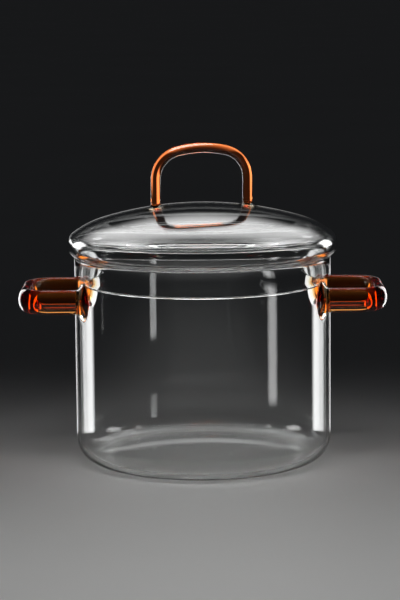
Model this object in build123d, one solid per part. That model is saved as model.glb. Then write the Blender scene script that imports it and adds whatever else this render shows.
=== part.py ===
"""Glass saucepan: a clear pot with two fused amber side handles, and a loose domed lid with an amber loop.

The origin is the middle of the base's underside. X runs through the two side handles, -Y is the front,
Z is up. Every length is in millimetres.
"""

from build123d import *
from math import atan, cos, degrees, hypot, radians, sin, sqrt
import os

# Pot
pot_radius = 90.0
pot_height = 145.0
pot_wall = 3.0
base_thickness = 3.6
base_corner_radius = 16.0

# Lid: a blown shell of even wall, turned under at its rim and down into the pot's mouth
lid_wall = 3.0
lid_overhang = 5.2
lid_rim_radius = 9.2
lid_rim_turn = 54.0
lid_shoulder_radius = 64.0
lid_rise = 27.4
lid_throat_radius = 3.0
skirt_drop = 19.0
skirt_clearance = 2.6
lid_seat_clearance = 0.25

# Side handles: oval rod bent into a flat U
side_rod_height = 17.2
side_rod_thickness = 10.6
side_handle_reach = 39.0
side_handle_spacing = 64.0
side_handle_corner = 16.0
side_handle_below_rim = 28.1

# Fused feet of the side handles, which flare from the rod onto the wall
side_weld_length = 3.6
side_weld_flare = 9.0

# Lid handle: round rod bent into an arch
lid_rod_diameter = 7.0
lid_handle_spacing = 65.6
lid_handle_height = 42.6
lid_handle_corner = 20.0
lid_handle_bow_radius = 75.0
lid_handle_turn = 12.0

# Fused feet of the lid handle
lid_weld_length = 2.4
lid_weld_flare = 4.4

# A foot is built this much past the surface it stands on, then trimmed to that surface
weld_root = 6.0

pot_inner_radius = pot_radius - pot_wall
rim_bead_radius = pot_wall / 2
rim_bead_center = (pot_radius - rim_bead_radius, pot_height - rim_bead_radius)

# The lid's outline is five tangent arcs. The centre of the turned-under rim comes first.
rim_x = pot_radius + lid_overhang - lid_rim_radius
rim_z = rim_bead_center[1] + sqrt(
    (lid_rim_radius + rim_bead_radius + lid_seat_clearance) ** 2 - (rim_bead_center[0] - rim_x) ** 2
)
lid_top = rim_z + lid_rise
shoulder_x = rim_x - (lid_shoulder_radius - lid_rim_radius) * cos(radians(lid_rim_turn))
shoulder_z = rim_z - (lid_shoulder_radius - lid_rim_radius) * sin(radians(lid_rim_turn))
crown_angle = 90 - 2 * degrees(atan((lid_top - shoulder_z - lid_shoulder_radius) / shoulder_x))
crown_radius = lid_shoulder_radius + shoulder_x / cos(radians(crown_angle))
crown_z = lid_top - crown_radius
skirt_radius = pot_inner_radius - skirt_clearance
throat_x = skirt_radius + lid_throat_radius
throat_z = rim_z - sqrt((lid_rim_radius + lid_throat_radius) ** 2 - (throat_x - rim_x) ** 2)
throat_angle = -degrees(atan((rim_z - throat_z) / (throat_x - rim_x)))
skirt_bottom = pot_height - skirt_drop

side_handle_z = pot_height - side_handle_below_rim
side_leg_y = side_handle_spacing / 2
side_wall_x = sqrt(pot_radius**2 - side_leg_y**2)
side_leg_start = side_wall_x + side_weld_length
side_bar_x = pot_radius + side_handle_reach - side_rod_thickness / 2

lid_leg_x = lid_handle_spacing / 2
lid_foot_z = crown_z + sqrt(crown_radius**2 - lid_leg_x**2)
lid_leg_start = lid_foot_z + lid_weld_length
lid_bar_z = lid_top + lid_handle_height - lid_rod_diameter / 2


def on_circle(center_x, center_z, radius, angle):
    """A point of the XZ plane on a circle, at an angle in degrees up from +X."""
    return (center_x + radius * cos(radians(angle)), center_z + radius * sin(radians(angle)))


def arc(center_x, center_z, radius, start, end):
    """An arc of the XZ plane through its middle, from one angle to another."""
    return ThreePointArc(*(on_circle(center_x, center_z, radius, a) for a in (start, (start + end) / 2, end)))


def turned(outline):
    """A solid of revolution about Z from the closed outline of half its section."""
    return revolve(Plane.XZ * make_face(outline), Axis.Z, 360)


def pot_vessel():
    """The pot: flat base, rounded corner, straight wall and a fire-polished rim."""
    outer_corner = pot_radius - base_corner_radius
    inner_corner_radius = base_corner_radius - pot_wall
    inner_corner = (pot_inner_radius - inner_corner_radius, base_thickness + inner_corner_radius)
    outline = [
        Line((0, 0), (outer_corner, 0)),
        arc(outer_corner, base_corner_radius, base_corner_radius, -90, 0),
        Line((pot_radius, base_corner_radius), (pot_radius, rim_bead_center[1])),
        arc(*rim_bead_center, rim_bead_radius, 0, 180),
        Line((pot_inner_radius, rim_bead_center[1]), (pot_inner_radius, inner_corner[1])),
        arc(*inner_corner, inner_corner_radius, 0, -90),
        Line((inner_corner[0], base_thickness), (0, base_thickness)),
        Line((0, base_thickness), (0, 0)),
    ]
    return turned(outline)


def lid_skin(depth):
    """The lid's surface from the crown to the skirt, at a depth into the glass from the outer one."""
    return [
        arc(0, crown_z, crown_radius - depth, 90, crown_angle),
        arc(shoulder_x, shoulder_z, lid_shoulder_radius - depth, crown_angle, lid_rim_turn),
        arc(rim_x, rim_z, lid_rim_radius - depth, lid_rim_turn, throat_angle),
        arc(throat_x, throat_z, lid_throat_radius + depth, throat_angle + 180, 180),
    ]


def lid_dome():
    """The lid: one shell with a turned-under rim and a round-edged skirt."""
    edge_radius = lid_wall / 2
    edge_z = skirt_bottom + edge_radius
    skirt_inner = skirt_radius - lid_wall
    outline = [
        *lid_skin(0),
        Line((skirt_radius, throat_z), (skirt_radius, edge_z)),
        arc(skirt_radius - edge_radius, edge_z, edge_radius, 0, -180),
        Line((skirt_inner, edge_z), (skirt_inner, throat_z)),
        *lid_skin(lid_wall),
        Line((0, lid_top - lid_wall), (0, lid_top)),
    ]
    return turned(outline)


def side_section(grow):
    """The side rod's oval section, made larger by grow in both directions."""
    return Ellipse((side_rod_thickness + grow) / 2, (side_rod_height + grow) / 2)


def side_handle(side):
    """One side handle, side being -1 for left and 1 for right."""
    start, bar = side * side_leg_start, side * side_bar_x
    corners = [(start, -side_leg_y), (bar, -side_leg_y), (bar, side_leg_y), (start, side_leg_y)]
    path = FilletPolyline(*[(x, y, side_handle_z) for x, y in corners], radius=side_handle_corner)
    section = Plane(path @ 0, x_dir=(0, 1, 0), z_dir=(side, 0, 0)) * side_section(0)
    return sweep(section, path=path)


def side_weld(side, end):
    """A side handle's flared foot, end being -1 for the front leg and 1 for the rear one."""
    steps = [(side_weld_length, 0), (side_weld_length / 2, 0.22), (0, 0.75), (-weld_root, 1.35)]
    sections = [
        Plane((side * (side_wall_x + out), end * side_leg_y, side_handle_z), x_dir=(0, 1, 0), z_dir=(side, 0, 0))
        * side_section(share * side_weld_flare)
        for out, share in steps
    ]
    return loft(sections) - Cylinder(pot_radius, 4 * pot_height)


def lid_handle():
    """The lid's arch: two upright legs, two corners and a slightly bowed top."""
    corner_x = lid_leg_x - lid_handle_corner
    reach = lid_handle_bow_radius - lid_handle_corner
    bow_z = lid_bar_z - lid_handle_bow_radius
    corner_z = bow_z + sqrt(reach**2 - corner_x**2)
    bow_angle = degrees(atan((corner_z - bow_z) / corner_x))
    path = Wire(
        [
            Line((-lid_leg_x, lid_leg_start), (-lid_leg_x, corner_z)),
            arc(-corner_x, corner_z, lid_handle_corner, 180, 180 - bow_angle),
            arc(0, bow_z, lid_handle_bow_radius, 180 - bow_angle, bow_angle),
            arc(corner_x, corner_z, lid_handle_corner, bow_angle, 0),
            Line((lid_leg_x, corner_z), (lid_leg_x, lid_leg_start)),
        ]
    )
    section = Plane.XY.offset(lid_leg_start) * Pos(-lid_leg_x, 0) * Circle(lid_rod_diameter / 2)
    return Rot(0, 0, lid_handle_turn) * sweep(section, path=Plane.XZ * path)


def lid_weld(end):
    """The lid handle's flared foot, end being -1 for the left leg and 1 for the right one."""
    steps = [(lid_weld_length, 0), (lid_weld_length / 2, 0.22), (0, 0.75), (-lid_weld_length, 1.35)]
    sections = [
        Plane.XY.offset(lid_foot_z + out)
        * Pos(end * lid_leg_x, 0)
        * Circle((lid_rod_diameter + share * lid_weld_flare) / 2)
        for out, share in steps
    ]
    crown = Pos(0, 0, crown_z) * Sphere(crown_radius)
    return Rot(0, 0, lid_handle_turn) * (loft(sections) - crown)


sides = {"left": -1, "right": 1}
ends = {"front": -1, "rear": 1}
parts = {"pot_vessel": pot_vessel(), "lid_dome": lid_dome(), "lid_handle": lid_handle()}
for side_name, side in sides.items():
    parts[f"{side_name}_handle"] = side_handle(side)
    parts[f"lid_handle_{side_name}_weld"] = lid_weld(side)
    for end_name, end in ends.items():
        parts[f"{side_name}_handle_{end_name}_weld"] = side_weld(side, end)

os.makedirs("parts", exist_ok=True)
for name, shape in parts.items():
    export_step(shape, f"parts/{name}.step")
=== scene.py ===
import bmesh
import bpy
from math import atan, atan2, ceil, cos, degrees, exp, hypot, pi, radians, sin, sqrt, tan
from mathutils import Matrix, Vector


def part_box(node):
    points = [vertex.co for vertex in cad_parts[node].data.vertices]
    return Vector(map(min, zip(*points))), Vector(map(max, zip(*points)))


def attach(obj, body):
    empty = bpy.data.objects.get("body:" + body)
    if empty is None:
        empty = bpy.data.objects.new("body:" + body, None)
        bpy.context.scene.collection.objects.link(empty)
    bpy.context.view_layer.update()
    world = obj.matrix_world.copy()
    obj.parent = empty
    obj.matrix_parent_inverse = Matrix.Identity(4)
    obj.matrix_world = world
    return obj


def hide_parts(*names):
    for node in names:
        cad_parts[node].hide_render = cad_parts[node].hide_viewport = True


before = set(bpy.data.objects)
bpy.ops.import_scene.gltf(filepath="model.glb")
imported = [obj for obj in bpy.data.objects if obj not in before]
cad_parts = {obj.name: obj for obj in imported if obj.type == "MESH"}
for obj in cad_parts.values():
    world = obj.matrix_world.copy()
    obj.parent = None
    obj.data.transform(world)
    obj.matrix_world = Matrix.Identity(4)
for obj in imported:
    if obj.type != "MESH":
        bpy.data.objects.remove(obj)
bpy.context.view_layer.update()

# Everything is in metres, in the frame's own axes: +Z up, the front at -Y.
MM = 0.001

# Sizes that the frame's boxes give
pot_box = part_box("pot_vessel")
lid_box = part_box("lid_dome")
side_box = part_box("right_handle")
arch_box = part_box("lid_handle")
POT_RADIUS, POT_HEIGHT = pot_box[1].x, pot_box[1].z
LID_RADIUS, LID_TOP, SKIRT_BOTTOM = lid_box[1].x, lid_box[1].z, lid_box[0].z

# Sizes inside those boxes
WALL = 3.0 * MM
BASE_THICKNESS = 3.6 * MM
BASE_CORNER = 16.0 * MM
RIM_BEAD = WALL / 2
RIM_RADIUS = 9.2 * MM
RIM_TURN = 54.0
SHOULDER_RADIUS = 64.0 * MM
THROAT_RADIUS = 3.0 * MM
SKIRT_CLEARANCE = 2.6 * MM
SEAT_CLEARANCE = 0.25 * MM

SIDE_ROD_THICKNESS = 10.6 * MM
SIDE_ROD_HEIGHT = side_box[1].z - side_box[0].z
SIDE_ROD_Z = (side_box[1].z + side_box[0].z) / 2
SIDE_LEG_Y = side_box[1].y - SIDE_ROD_THICKNESS / 2
SIDE_START = side_box[0].x
SIDE_BAR_X = side_box[1].x - SIDE_ROD_THICKNESS / 2
SIDE_CORNER = 16.0 * MM
SIDE_FLARE = 9.0 * MM

ARCH_ROD = 7.0 * MM
ARCH_TURN = radians(12.0)
ARCH_LEG = 32.8 * MM
ARCH_START = arch_box[0].z
ARCH_BAR_Z = arch_box[1].z - ARCH_ROD / 2
ARCH_CORNER = 20.0 * MM
ARCH_BOW = 75.0 * MM
ARCH_FLARE = 4.4 * MM

# The flat end of a clear foot stands this hair's breadth short of the rod's own length. Inside the
# foot runs the rod's amber core, slimmer by this share, to this far from the shell.
FUSE_GAP = 0.02 * MM
CORE_SLIM = 0.96
CORE_GAP = 0.3 * MM

# Where a foot stands, the shell's skin is cut away this far across and along, then grown into the foot
SIDE_HOLE = (12 * MM, 16.5 * MM)
ARCH_HOLE = (8.5 * MM, 8.5 * MM)

# Fineness of the meshes. Steps along an arc are in degrees.
SEGMENTS = 288
RING_POINTS = 64
ARC_STEP = 4.0
CROWN_STEP = 0.28
CROWN_INNER_STEP = 0.5
SHOULDER_STEP = 1.5
THROAT_STEP = 6
ROUND_EDGE_STEP = 15
BOW_STEP = 1.0
WALL_STEP = 1.6 * MM
INSIDE_STEP = 6 * MM
SKIRT_STEP = 3 * MM
SIDE_STEP = 2 * MM
ARCH_STEP = 1.5 * MM
SAME_POINT = 1e-7
SHARP_EDGE = radians(60)

# Borosilicate glass, and how near the plane where rod and foot join counts as on it
GLASS_IOR = 1.474
JOIN_WIDTH = 0.06 * MM

# Colours
GOLD = (0.80, 0.50, 0.18)
STRAW = (0.93, 0.82, 0.58)
CLEAR = (0.985, 0.992, 0.99)
SIDE_AMBER = (0.93, 0.58, 0.0)
ARCH_AMBER = (0.95, 0.46, 0.0)
DARK_ROOM = (0.011, 0.0115, 0.0125)

# The photograph's view, fitted to the outlines of the walls, the base and the lid
CAMERA_PLACE = (-1.9 * MM, -1.6, 0.356)
CAMERA_DOWN = 8.64
CAMERA_ROLL = -0.5
CAMERA_LENS = 137.5

# The lid's outline: the centres of its tangent arcs
rim_bead = (POT_RADIUS - RIM_BEAD, POT_HEIGHT - RIM_BEAD)
rim_x = LID_RADIUS - RIM_RADIUS
rim_z = rim_bead[1] + sqrt((RIM_RADIUS + RIM_BEAD + SEAT_CLEARANCE) ** 2 - (rim_bead[0] - rim_x) ** 2)
shoulder_x = rim_x - (SHOULDER_RADIUS - RIM_RADIUS) * cos(radians(RIM_TURN))
shoulder_z = rim_z - (SHOULDER_RADIUS - RIM_RADIUS) * sin(radians(RIM_TURN))
crown_angle = 90 - 2 * degrees(atan((LID_TOP - shoulder_z - SHOULDER_RADIUS) / shoulder_x))
crown_radius = SHOULDER_RADIUS + shoulder_x / cos(radians(crown_angle))
crown_z = LID_TOP - crown_radius
skirt_radius = POT_RADIUS - WALL - SKIRT_CLEARANCE
throat_x = skirt_radius + THROAT_RADIUS
throat_z = rim_z - sqrt((RIM_RADIUS + THROAT_RADIUS) ** 2 - (throat_x - rim_x) ** 2)
throat_angle = -degrees(atan((rim_z - throat_z) / (throat_x - rim_x)))


def arc(center_x, center_z, radius, start, end, step=ARC_STEP):
    """Points of an arc, from one angle in degrees to another, both ends included."""
    count = max(2, ceil(abs(end - start) / step))
    angles = [radians(start + (end - start) * i / count) for i in range(count + 1)]
    return [(center_x + radius * cos(a), center_z + radius * sin(a)) for a in angles]


def run(start, end, step):
    """Evenly spaced points of a straight run, both ends included."""
    count = max(1, ceil(hypot(end[0] - start[0], end[1] - start[1]) / step))
    return [(start[0] + (end[0] - start[0]) * i / count, start[1] + (end[1] - start[1]) * i / count)
            for i in range(count + 1)]


def distinct(points):
    """The points without the repeats where one stretch ends and the next begins."""
    kept = [points[0]]
    for point in points[1:]:
        if hypot(point[0] - kept[-1][0], point[1] - kept[-1][1]) > SAME_POINT:
            kept.append(point)
    return kept


def bridge(bm, first, second):
    """Faces between two rings of vertices. A ring of one vertex is a pole."""
    count = max(len(first), len(second))
    for i in range(count):
        j = (i + 1) % count
        if len(first) == 1:
            corners = (first[0], second[j], second[i])
        elif len(second) == 1:
            corners = (first[i], first[j], second[0])
        else:
            corners = (first[i], first[j], second[j], second[i])
        bm.faces.new(corners)


def lathe(outline):
    """A closed mesh turned about Z from an outline whose two ends lie on the axis."""
    bm = bmesh.new()
    rings = []
    for radius, height in distinct(outline):
        if radius < SAME_POINT:
            rings.append([bm.verts.new((0, 0, height))])
            continue
        angles = [2 * pi * i / SEGMENTS for i in range(SEGMENTS)]
        rings.append([bm.verts.new((radius * cos(a), radius * sin(a), height)) for a in angles])
    for low, high in zip(rings, rings[1:]):
        bridge(bm, low, high)
    return bm


def oval(angle, height, thickness):
    """Distance from the middle of an oval section to its edge. Its long way is at 90 degrees."""
    return height * thickness / 2 / hypot(height * cos(angle), thickness * sin(angle))


def side_edge(angle, grow):
    """Reach of the side rod's section at an angle, its height and thickness made larger by grow."""
    return oval(angle, SIDE_ROD_HEIGHT + grow, SIDE_ROD_THICKNESS + grow)


def arch_edge(angle, grow):
    """Reach of the arch's round section, its diameter made larger by grow."""
    return (ARCH_ROD + grow) / 2


def flare_share(depth):
    """A foot's share of its full flare at a depth below the rod's end, counted in lengths of the foot."""
    return 1.4 * (1 - exp(-0.75 * depth**1.8))


def graft_foot(bm, place, surface, edge, flare, top, hole):
    """Grows a flared foot out of a shell's outer surface, in one skin with it.

    place takes local (a, b, h) to the frame, h running up the rod. surface(a, b) is the shell's h,
    edge(angle, grow) is the section's reach, top is the foot's flat end and hole is what is cut away.
    """
    local = place.inverted()
    length = top - surface(0, 0)

    def in_hole(face):
        p = local @ face.calc_center_median()
        if (p.x / hole[0]) ** 2 + (p.y / hole[1]) ** 2 > 1 or p.z < 0:
            return False
        return abs(p.z - surface(p.x, p.y)) < WALL / 4

    bmesh.ops.delete(bm, geom=[f for f in bm.faces if in_hole(f)], context="FACES")
    border = [v for v in bm.verts if v.is_boundary]
    border.sort(key=lambda v: atan2((local @ v.co).y, (local @ v.co).x))
    angles = [atan2((local @ v.co).y, (local @ v.co).x) for v in border]
    spans = [(local @ v.co).xy.length for v in border]

    def on_flare(angle, h):
        reach = edge(angle, flare * flare_share(max(top - h, 0) / length))
        return Vector((reach * cos(angle), reach * sin(angle), h))

    def crease(angle):
        low, high = top - 5 * length, top
        for _ in range(40):
            middle = (low + high) / 2
            p = on_flare(angle, middle)
            low, high = (low, middle) if middle > surface(p.x, p.y) else (middle, high)
        return (low + high) / 2

    creases = [crease(a) for a in angles]
    rings = []
    for step in (0.35, 0.7, 1.0):  # over the shell, from the hole's border in to the crease
        ring = []
        for angle, span, h in zip(angles, spans, creases):
            reach = span + (on_flare(angle, h).xy.length - span) * step
            a, b = reach * cos(angle), reach * sin(angle)
            ring.append(bm.verts.new(place @ Vector((a, b, surface(a, b)))))
        rings.append(ring)
    climb = 8
    for step in range(1, climb + 1):  # up the flare, from the crease to the rod
        steps = [h + (top - h) * step / climb for h in creases]
        rings.append([bm.verts.new(place @ on_flare(a, h)) for a, h in zip(angles, steps)])
    center = place @ Vector((0, 0, top))
    inner = [bm.verts.new(center.lerp(v.co, 0.6)) for v in rings[-1]]
    for low, high in zip([border, *rings, inner], [*rings, inner, [bm.verts.new(center)]]):
        bridge(bm, low, high)
    soft = [v for ring in rings[:-2] for v in ring]
    axes = {"use_axis_x": True, "use_axis_y": True, "use_axis_z": True}
    for _ in range(6):
        bmesh.ops.smooth_vert(bm, verts=soft, factor=0.5, **axes)


def finished(name, bm, material):
    """The bmesh as a smooth-shaded object with outward normals and a material."""
    bmesh.ops.recalc_face_normals(bm, faces=bm.faces)
    for edge in bm.edges:
        edge.smooth = edge.is_boundary or edge.calc_face_angle() < SHARP_EDGE
    mesh = bpy.data.meshes.new(name)
    bm.to_mesh(mesh)
    bm.free()
    mesh.polygons.foreach_set("use_smooth", [True] * len(mesh.polygons))
    mesh.materials.append(material)
    piece = bpy.data.objects.new(name, mesh)
    bpy.context.scene.collection.objects.link(piece)
    return piece


def drawn(share):
    """The slightly uneven thickness of hand-drawn rod along its length, full size at both ends."""
    return 1 - 0.012 * sin(pi * share) * (1 + sin(37 * share + 1.3))


def rod(place, path, edge, root):
    """A bent glass rod along a flat path in the local XY plane.

    Each end runs on, a little slimmer, into the clear foot. root(point) moves a point of the end's
    plane along the rod to where that core stops, just short of the shell.
    """
    bm = bmesh.new()
    path = distinct(path)
    rings = []
    for i, (x, y) in enumerate(path):
        before, after = path[max(i - 1, 0)], path[min(i + 1, len(path) - 1)]
        along = Vector((after[0] - before[0], after[1] - before[1], 0)).normalized()
        across = Vector((-along.y, along.x, 0))
        uneven = drawn(i / (len(path) - 1))
        ring = []
        for k in range(RING_POINTS):
            angle = 2 * pi * k / RING_POINTS
            reach = edge(angle, 0) * uneven
            point = Vector((x, y, reach * sin(angle))) + across * (reach * cos(angle))
            ring.append(bm.verts.new(place @ point))
        rings.append(ring)
    for low, high in zip(rings, rings[1:]):
        bridge(bm, low, high)
    for ring, end in ((rings[0], path[0]), (rings[-1], path[-1])):
        center = place @ Vector((end[0], end[1], 0))
        outline = [v.co.copy() for v in ring]
        # Rings at shares of the way to the shell, the last one half as wide
        for slim, depth in ((CORE_SLIM, 0.1), (CORE_SLIM, 0.55), (CORE_SLIM, 1.0), (CORE_SLIM / 2, 1.0)):
            flat = [center.lerp(co, slim) for co in outline]
            core = [bm.verts.new(p.lerp(root(p), depth)) for p in flat]
            bridge(bm, ring, core)
            ring = core
        bridge(bm, ring, [bm.verts.new(root(center))])
    return bm


def pot_outline():
    """Half the vessel's section, from the middle of its underside round to the middle of its floor."""
    corner_x = POT_RADIUS - BASE_CORNER
    inner_radius = POT_RADIUS - WALL
    inner_corner = BASE_CORNER - WALL
    inner_corner_x = inner_radius - inner_corner
    inner_corner_z = BASE_THICKNESS + inner_corner
    return [
        (0, 0),
        *run((0.4 * corner_x, 0), (corner_x, 0), INSIDE_STEP),
        *arc(corner_x, BASE_CORNER, BASE_CORNER, -90, 0),
        *run((POT_RADIUS, BASE_CORNER), (POT_RADIUS, rim_bead[1]), WALL_STEP),
        *arc(*rim_bead, RIM_BEAD, 0, 180, ROUND_EDGE_STEP),
        *run((inner_radius, rim_bead[1]), (inner_radius, inner_corner_z), INSIDE_STEP),
        *arc(inner_corner_x, inner_corner_z, inner_corner, 0, -90),
        *run((inner_corner_x, BASE_THICKNESS), (0.4 * corner_x, BASE_THICKNESS), INSIDE_STEP),
        (0, BASE_THICKNESS),
    ]


def lid_skin(depth, crown_step):
    """The lid's surface from the crown to the skirt, at a depth into the glass from the outer one."""
    return [
        *arc(0, crown_z, crown_radius - depth, 90, crown_angle, crown_step),
        *arc(shoulder_x, shoulder_z, SHOULDER_RADIUS - depth, crown_angle, RIM_TURN, SHOULDER_STEP),
        *arc(rim_x, rim_z, RIM_RADIUS - depth, RIM_TURN, throat_angle),
        *arc(throat_x, throat_z, THROAT_RADIUS + depth, throat_angle + 180, 180, THROAT_STEP),
    ]


def lid_outline():
    """Half the lid's section, from its top down to the skirt's round edge and back up inside."""
    edge_z = SKIRT_BOTTOM + WALL / 2
    skirt_inner = skirt_radius - WALL
    return [
        *lid_skin(0, CROWN_STEP),
        *run((skirt_radius, throat_z), (skirt_radius, edge_z), SKIRT_STEP),
        *arc(skirt_radius - WALL / 2, edge_z, WALL / 2, 0, -180, ROUND_EDGE_STEP),
        *run((skirt_inner, edge_z), (skirt_inner, throat_z), SKIRT_STEP),
        *reversed(lid_skin(WALL, CROWN_INNER_STEP)),
    ]


def pot_glass(material):
    """The clear vessel with the four feet that carry the side handles."""
    bm = lathe(pot_outline())
    for side in (-1, 1):
        for y in (-SIDE_LEG_Y, SIDE_LEG_Y):
            place = Matrix(((0, 0, side, 0), (1, 0, 0, y), (0, 1, 0, SIDE_ROD_Z), (0, 0, 0, 1)))

            def wall(a, b):
                return sqrt(POT_RADIUS**2 - (y + a) ** 2)

            graft_foot(bm, place, wall, side_edge, SIDE_FLARE, SIDE_START - FUSE_GAP, SIDE_HOLE)
    return finished("pot_glass", bm, material)


def lid_glass(material):
    """The clear lid with the two feet that carry the arch."""
    bm = lathe(lid_outline())
    for x in (-ARCH_LEG, ARCH_LEG):
        place = Matrix.Rotation(ARCH_TURN, 4, "Z") @ Matrix.Translation((x, 0, 0))

        def crown(a, b):
            return crown_z + sqrt(crown_radius**2 - (x + a) ** 2 - b**2)

        graft_foot(bm, place, crown, arch_edge, ARCH_FLARE, ARCH_START - FUSE_GAP, ARCH_HOLE)
    return finished("lid_glass", bm, material)


def side_rod(side, name, material):
    """One side handle, side being -1 for the left and 1 for the right."""
    corner_x, corner_y = SIDE_BAR_X - SIDE_CORNER, SIDE_LEG_Y - SIDE_CORNER
    path = [
        *run((SIDE_START, -SIDE_LEG_Y), (corner_x, -SIDE_LEG_Y), SIDE_STEP),
        *arc(corner_x, -corner_y, SIDE_CORNER, -90, 0),
        *run((SIDE_BAR_X, -corner_y), (SIDE_BAR_X, corner_y), SIDE_STEP),
        *arc(corner_x, corner_y, SIDE_CORNER, 0, 90),
        *run((corner_x, SIDE_LEG_Y), (SIDE_START, SIDE_LEG_Y), SIDE_STEP),
    ]
    place = Matrix.Translation((0, 0, SIDE_ROD_Z)) @ Matrix.Diagonal((side, 1, 1, 1))

    def root(point):
        return Vector((side * (sqrt(POT_RADIUS**2 - point.y**2) + CORE_GAP), point.y, point.z))

    return finished(name, rod(place, path, side_edge, root), material)


def arch_rod(material):
    """The lid's arch: two upright legs, two corners and a slightly bowed top."""
    corner_x = ARCH_LEG - ARCH_CORNER
    bow_z = ARCH_BAR_Z - ARCH_BOW
    corner_z = bow_z + sqrt((ARCH_BOW - ARCH_CORNER) ** 2 - corner_x**2)
    bow_angle = degrees(atan((corner_z - bow_z) / corner_x))
    path = [
        *run((-ARCH_LEG, ARCH_START), (-ARCH_LEG, corner_z), ARCH_STEP),
        *arc(-corner_x, corner_z, ARCH_CORNER, 180, 180 - bow_angle),
        *arc(0, bow_z, ARCH_BOW, 180 - bow_angle, bow_angle, BOW_STEP),
        *arc(corner_x, corner_z, ARCH_CORNER, bow_angle, 0),
        *run((ARCH_LEG, corner_z), (ARCH_LEG, ARCH_START), ARCH_STEP),
    ]
    place = Matrix.Rotation(ARCH_TURN, 4, "Z") @ Matrix.Rotation(radians(90), 4, "X")

    def root(point):
        crown = crown_z + sqrt(crown_radius**2 - point.xy.length_squared)
        return Vector((point.x, point.y, crown + CORE_GAP))

    return finished("lid_loop", rod(place, path, arch_edge, root), material)


class Nodes:
    """A short way to write a node tree."""

    def __init__(self, tree):
        self.tree = tree

    def add(self, kind, links=(), **settings):
        """A new node with settings, its inputs joined to sockets or set to values."""
        node = self.tree.nodes.new(kind)
        for key, value in settings.items():
            setattr(node, key, value)
        for socket, source in dict(links).items():
            self.set(node, socket, source)
        return node

    def set(self, node, socket, source):
        if isinstance(source, bpy.types.NodeSocket):
            self.tree.links.new(source, node.inputs[socket])
        else:
            node.inputs[socket].default_value = source

    def noise(self, coordinate, scale, detail):
        links = {"Vector": coordinate, "Scale": scale, "Detail": detail}
        return self.add("ShaderNodeTexNoise", links).outputs["Fac"]

    def remap(self, value, low, high, to_low, to_high, shape="LINEAR"):
        links = {"Value": value, "From Min": low, "From Max": high, "To Min": to_low, "To Max": to_high}
        return self.add("ShaderNodeMapRange", links, interpolation_type=shape).outputs["Result"]

    def ramp(self, value, stops):
        """A colour ramp through stops of (position, colour)."""
        node = self.add("ShaderNodeValToRGB", {"Fac": value})
        elements = node.color_ramp.elements
        while len(elements) < len(stops):
            elements.new(0.5)
        for element, (position, color) in zip(elements, stops):
            element.position = position
            element.color = (*color, 1)
        return node.outputs["Color"]

    def math(self, operation, *values):
        return self.add("ShaderNodeMath", dict(enumerate(values)), operation=operation).outputs[0]


class Paint(Nodes):
    """A new material and its node tree. place is the surface's point in the frame's axes."""

    def __init__(self, name):
        self.material = bpy.data.materials.new(name)
        self.material.use_nodes = True
        super().__init__(self.material.node_tree)
        self.shader = self.tree.nodes["Principled BSDF"]
        self.output = self.tree.nodes["Material Output"]
        self.place = self.add("ShaderNodeTexCoord").outputs["Object"]

    def give(self, socket, source):
        """Sets the shader's own socket to a value or joins it to a node."""
        self.set(self.shader, socket, source)

    def bump(self, height, distance, strength):
        links = {"Height": height, "Distance": distance, "Strength": strength}
        self.give("Normal", self.add("ShaderNodeBump", links).outputs["Normal"])

    def off_axis(self, axis):
        """Distance from the frame's origin along one axis, whichever way."""
        parts = self.add("ShaderNodeSeparateXYZ", {"Vector": self.place})
        return self.math("ABSOLUTE", parts.outputs[axis])

    def join(self, here):
        """Takes away the refraction where here is 1, because rod and foot are one glass there."""
        self.give("IOR", GLASS_IOR)
        self.give("IOR", self.remap(here, 0.0, 1.0, GLASS_IOR, 1.0))


def clear_glass(name, foot, turn, axis):
    """Borosilicate glass. Around each foot, given as a place in the first quadrant, it goes gold."""
    paint = Paint(name)
    unturned = {"Vector": paint.place, "Angle": -turn}
    turned = paint.add("ShaderNodeVectorRotate", unturned, rotation_type="Z_AXIS")
    folded = paint.add("ShaderNodeVectorMath", {0: turned.outputs[0]}, operation="ABSOLUTE")
    away = paint.add("ShaderNodeVectorMath", {0: folded.outputs[0], 1: foot}, operation="DISTANCE")
    streaks = paint.remap(paint.noise(paint.place, 180.0, 3.0), 0.3, 0.7, -1.5 * MM, 1.5 * MM)
    reach = paint.remap(paint.math("ADD", away.outputs["Value"], streaks), 4 * MM, 13 * MM, 0.0, 1.0)
    paint.give("Base Color", paint.ramp(reach, [(0.0, GOLD), (0.45, STRAW), (1.0, CLEAR)]))
    paint.give("Transmission Weight", 1.0)
    paint.give("Roughness", paint.remap(paint.noise(paint.place, 9.0, 4.0), 0.45, 0.75, 0.0, 0.02))
    paint.join(paint.math("COMPARE", paint.off_axis(axis), foot["XYZ".index(axis)], JOIN_WIDTH))
    paint.bump(paint.noise(paint.place, 14.0, 0.0), 0.12 * MM, 0.05)
    return paint.material


def amber_glass(name, density, color, axis, start):
    """Amber rod: the colour is in the depth of the glass, with faint streaks from drawing."""
    paint = Paint(name)
    streaks = paint.noise(paint.place, 60.0, 2.0)
    paint.give("Base Color", paint.ramp(streaks, [(0.3, (1.0, 0.90, 0.80)), (0.7, (1.0, 0.97, 0.93))]))
    paint.give("Transmission Weight", 1.0)
    paint.give("Roughness", paint.remap(paint.noise(paint.place, 14.0, 4.0), 0.4, 0.8, 0.0, 0.03))
    paint.join(paint.math("LESS_THAN", paint.off_axis(axis), start + JOIN_WIDTH))
    paint.bump(paint.noise(paint.place, 60.0, 1.0), 0.15 * MM, 0.2)
    depth = paint.add("ShaderNodeVolumeAbsorption", {"Color": (*color, 1), "Density": density})
    paint.set(paint.output, "Volume", depth.outputs[0])
    return paint.material


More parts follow.
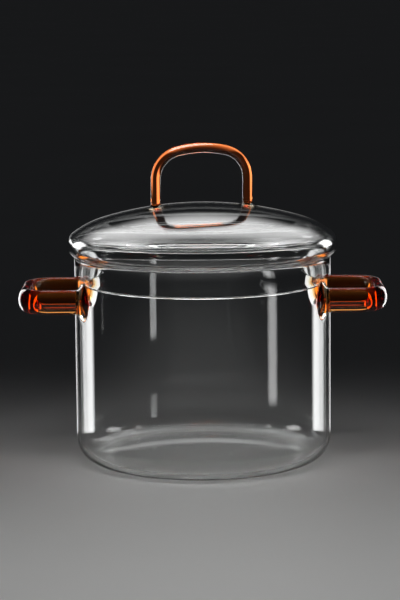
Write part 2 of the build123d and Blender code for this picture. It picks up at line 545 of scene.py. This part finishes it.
def floor_paint():
    paint = Paint("pale_floor")
    shades = [(0.3, (0.74, 0.74, 0.73)), (0.7, (0.78, 0.78, 0.77))]
    paint.give("Base Color", paint.ramp(paint.noise(paint.place, 3.0, 4.0), shades))
    paint.give("Roughness", 0.55)
    return paint.material


def stage_floor():
    """A wide disc a hair under the base, which is at z = 0."""
    bm = bmesh.new()
    bmesh.ops.create_circle(bm, cap_ends=True, radius=30.0, segments=96)
    floor = finished("floor", bm, floor_paint())
    floor.location.z = -0.2 * MM
    groups["stage"].objects.link(floor)


def softbox(name, place, aim, size, radiance, only, fade=(0.2, 0.2), spread=180):
    """A soft light of a given brightness at its middle, lighting one group of pieces.

    fade is the share of its width and of its height over which it dims towards each edge. A spread
    under 180 degrees is a grid on its face.
    """
    half = radians(min(spread, 179.9)) / 2
    light = bpy.data.lights.new(name, "AREA")
    light.shape = "RECTANGLE"
    light.size, light.size_y = size
    light.spread = 2 * half
    # A spread makes the light brighter seen straight on, and the last factor undoes that
    light.energy = radiance * pi * size[0] * size[1] * (1 - half / tan(half))
    light.use_nodes = True
    nodes = Nodes(light.node_tree)
    across = nodes.add("ShaderNodeNewGeometry").outputs["Parametric"]
    spot = nodes.add("ShaderNodeSeparateXYZ", {"Vector": across})
    strength = 1.0
    for axis, share in zip("XY", fade):
        off = nodes.math("ABSOLUTE", nodes.math("SUBTRACT", spot.outputs[axis], 0.5))
        dim = nodes.remap(off, 0.5, 0.5 - share, 0.0, 1.0, "SMOOTHSTEP")
        strength = nodes.math("MULTIPLY", dim, strength)
    nodes.set(nodes.tree.nodes["Emission"], "Strength", strength)
    holder = bpy.data.objects.new(name, light)
    holder.location = place
    holder.rotation_euler = (Vector(aim) - Vector(place)).to_track_quat("-Z", "Y").to_euler()
    holder.visible_camera = False
    holder.light_linking.receiver_collection = groups[only]
    bpy.context.scene.collection.objects.link(holder)


def around(azimuth, elevation, distance, height=0.16):
    """A place round the object. Azimuth 0 is behind it, 90 to its right and 180 in front."""
    a, e = radians(azimuth), radians(elevation)
    return (distance * cos(e) * sin(a), distance * cos(e) * cos(a), height + distance * sin(e))


def studio():
    """A dark room with soft lights that the camera doesn't see, each for one group of pieces."""
    middle = (0, 0, 0.16)
    # For the shells, behind them and overhead
    softbox("back", around(0, 46, 1.3), middle, (1.9, 1.2), 2.5, "shells", (0.25, 0.38))
    softbox("overhead", (0, 0.09, 1.06), middle, (2.0, 0.12), 12.0, "shells", (0.05, 0.3))
    for side in (-1, 1):
        # Close beside the wall, for the bright band that stands along it
        x = side * 0.0948
        softbox("wall_panel", (x, 0.06, 0.070), (x, 0, 0.070), (0.0215, 0.134), 1.5, "shells", (0.2, 0.02))
        # For the dome's flanks, and for the end of the lid's rim
        softbox("wing", around(side * 50, 47, 1.2), middle, (0.22, 0.9), 5.0, "shells", (0.3, 0.3))
        rim_end = (side * 0.08, -0.02, 0.158)
        softbox("rim_panel", (side * 0.31, 0.18, 0.22), rim_end, (0.12, 0.18), 6.0, "shells")
        # For the side handle's outer edge
        bar = (side * 0.12, 0, 0.117)
        softbox("loop_side", (side * 0.247, 0.162, 0.125), bar, (0.12, 0.25), 4.0, "loops", (0.2, 0.05))
    # Low behind, for the edges of the lid, then through the side handles
    softbox("rim_edge", around(-36, 3, 1.2), middle, (0.55, 0.12), 2.0, "shells")
    softbox("low_strip", (-0.175, 1.2, 0.20), middle, (0.85, 0.05), 0.45, "shells")
    softbox("low_strip_loops", (0, 1.2, 0.12), (0, 0, 0.12), (0.9, 0.2), 0.6, "loops", (0.2, 0.4))
    # In front to the right, reflected in the wall
    front_wall = (0.048, -0.076, 0.06)
    softbox("front_right", (0.247, -0.169, 0.055), front_wall, (0.046, 0.10), 4.0, "shells", (0.2, 0.1))
    # For the side handles, behind and above
    softbox("loops_back", around(0, 28, 1.2), (0, 0, 0.12), (1.0, 0.24), 1.4, "loops", (0.2, 0.3))
    softbox("loops_top", around(0, 70, 0.9), middle, (0.9, 0.35), 3.0, "loops")
    # For the arch: above, behind, behind to the left, and a small one close behind its opening
    softbox("arch_top", around(0, 95, 0.6, 0.22), (0, 0, 0.22), (0.5, 0.8), 11.0, "arch")
    softbox("arch_back", around(0, -4, 0.5, 0.20), (0, 0, 0.20), (0.9, 0.25), 0.03, "arch")
    softbox("arch_panel", (-0.124, 0.234, 0.15), (0, 0, 0.20), (0.152, 0.14), 2.2, "arch")
    softbox("arch_bar", (0, 0.025, 0.200), (0, 0, 0.200), (0.044, 0.040), 1.6, "arch", (0.1, 0.5))
    # A pool of light on the floor in front
    softbox("pool", (0, -0.42, 0.9), (0, -0.38, 0), (0.8, 0.35), 9.0, "stage", spread=70)
    world = bpy.data.worlds.new("studio")
    world.use_nodes = True
    world.node_tree.nodes["Background"].inputs["Color"].default_value = (*DARK_ROOM, 1)
    bpy.context.scene.world = world


def camera():
    data = bpy.data.cameras.new("camera")
    data.sensor_width = 36.0
    data.lens = CAMERA_LENS
    holder = bpy.data.objects.new("camera", data)
    tilt = Matrix.Rotation(radians(90 - CAMERA_DOWN), 4, "X") @ Matrix.Rotation(radians(CAMERA_ROLL), 4, "Z")
    holder.matrix_world = Matrix.Translation(CAMERA_PLACE) @ tilt
    bpy.context.scene.collection.objects.link(holder)
    bpy.context.scene.camera = holder


def dress(piece, body, slot, group, *nodes):
    """Gives a piece its body and group of lights, in place of the CAD's nodes."""
    groups[group].objects.link(piece)
    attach(piece, body)
    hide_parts(*nodes)


# Groups of pieces that lights are linked to
groups = {name: bpy.data.collections.new(name) for name in ("shells", "loops", "arch", "stage")}
for group in groups.values():
    bpy.context.scene.collection.children.link(group)

side_foot = (SIDE_START, SIDE_LEG_Y, SIDE_ROD_Z)
arch_foot = (ARCH_LEG, 0.0, ARCH_START)
clear_pot = clear_glass("clear_pot_glass", side_foot, 0.0, "X")
clear_lid = clear_glass("clear_lid_glass", arch_foot, ARCH_TURN, "Z")
amber_side = amber_glass("amber_side_glass", 330.0, SIDE_AMBER, "X", SIDE_START)
amber_arch = amber_glass("amber_arch_glass", 430.0, ARCH_AMBER, "Z", ARCH_START)

welds = [f"{side}_handle_{end}_weld" for side in ("left", "right") for end in ("front", "rear")]
lid_welds = [f"lid_handle_{side}_weld" for side in ("left", "right")]
dress(pot_glass(clear_pot), "pot", "clear_glass", "shells", "pot_vessel", *welds)
dress(side_rod(-1, "left_loop", amber_side), "pot", "amber_glass", "loops", "left_handle")
dress(side_rod(1, "right_loop", amber_side), "pot", "amber_glass", "loops", "right_handle")
dress(lid_glass(clear_lid), "lid", "clear_glass", "shells", "lid_dome", *lid_welds)
dress(arch_rod(amber_arch), "lid", "amber_glass", "arch", "lid_handle")

stage_floor()
studio()
camera()

scene = bpy.context.scene
scene.view_settings.view_transform = "Standard"
# Light passes many walls of glass before it reaches the camera
scene.cycles.max_bounces = 24
scene.cycles.transmission_bounces = 24
scene.cycles.glossy_bounces = 8
